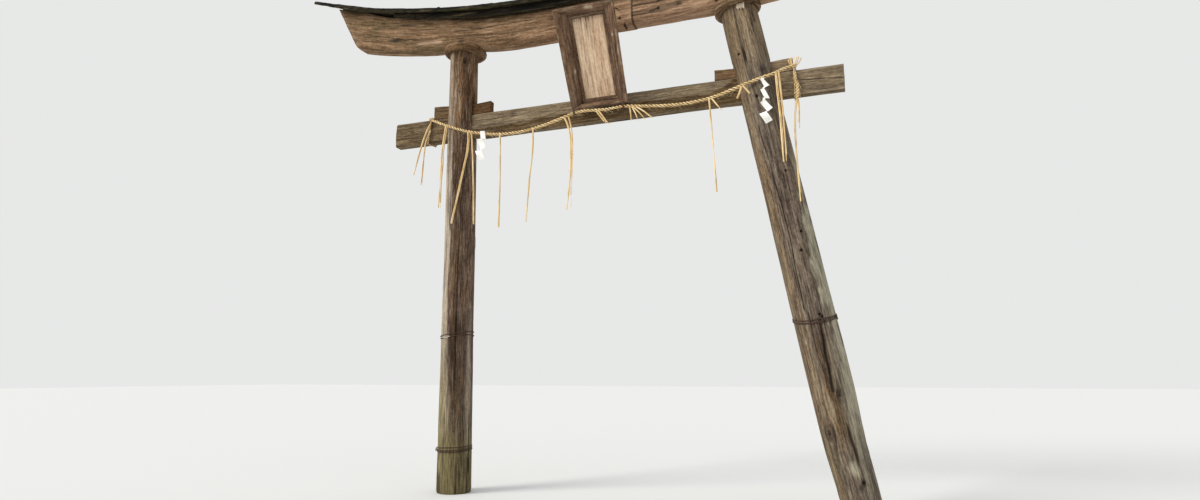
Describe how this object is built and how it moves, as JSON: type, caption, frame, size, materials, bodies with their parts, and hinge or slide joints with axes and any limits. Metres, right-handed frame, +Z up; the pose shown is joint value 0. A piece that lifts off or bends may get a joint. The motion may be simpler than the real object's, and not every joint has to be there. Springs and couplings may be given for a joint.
{
  "type": "wooden torii gate",
  "caption": "Weathered timber torii with round leaning posts, a wedged tie beam, a curved lintel under roof boards, a framed tablet and a straw rope.",
  "frame": {"origin": "middle of the left post's foot, on the ground", "axes": "+X along the gate to the right post, -Y to the front, +Z up"},
  "size_m": [4.2116, 0.5285, 3.3177],
  "materials": {
    "post_wood": "weathered grey-brown log, hand smoothed, cracked",
    "lintel_wood": "weathered reddish-brown timber",
    "beam_wood": "weathered grey-brown sawn timber",
    "roof_wood": "rotted near-black boards with moss",
    "frame_wood": "dark red-brown planed board",
    "panel_wood": "pale tan planed board",
    "iron": "dark rusty iron",
    "straw": "twisted rice straw",
    "paper": "folded white paper"
  },
  "bodies": {
    "root": {"centre_strut": "beam_wood", "collar_chip": "post_wood", "left_collar": "post_wood", "left_post": "post_wood", "left_post_band_1": "iron", "left_post_band_2": "iron", "lintel_left": "lintel_wood", "lintel_right": "lintel_wood", "paper_left": "paper", "paper_right": "paper", "ridge_cap": "roof_wood", "right_collar": "post_wood", "right_post": "post_wood", "right_post_band": "iron", "roof_under_board_back": "roof_wood", "roof_under_board_front": "roof_wood", "roof_upper_board_back": "roof_wood", "roof_upper_board_front": "roof_wood", "rope": "straw", "rope_tail": "straw", "rope_tie_left": "straw", "rope_tie_right": "straw", "rope_tuft": "straw", "tablet_frame_bottom": "frame_wood", "tablet_frame_left": "frame_wood", "tablet_frame_right": "frame_wood", "tablet_frame_top": "frame_wood", "tablet_hook_left": "iron", "tablet_hook_right": "iron", "tablet_panel": "panel_wood", "tablet_stay_left": "iron", "tablet_stay_right": "iron", "tassel_left_end": "straw", "tassel_left_post_front": "straw", "tassel_left_post_side": "straw", "tassel_right_hook": "straw", "tassel_right_post_edge": "straw", "tassel_right_post_front": "straw", "tassel_rope_end": "straw", "tassel_span_1": "straw", "tassel_span_2": "straw", "tassel_span_3": "straw", "tassel_span_4": "straw", "tassel_tablet": "straw", "tie_beam": "beam_wood", "wedge_left_inner": "beam_wood", "wedge_left_outer": "beam_wood", "wedge_right_inner": "beam_wood", "wedge_right_outer": "beam_wood"}
  },
  "joints": []
}
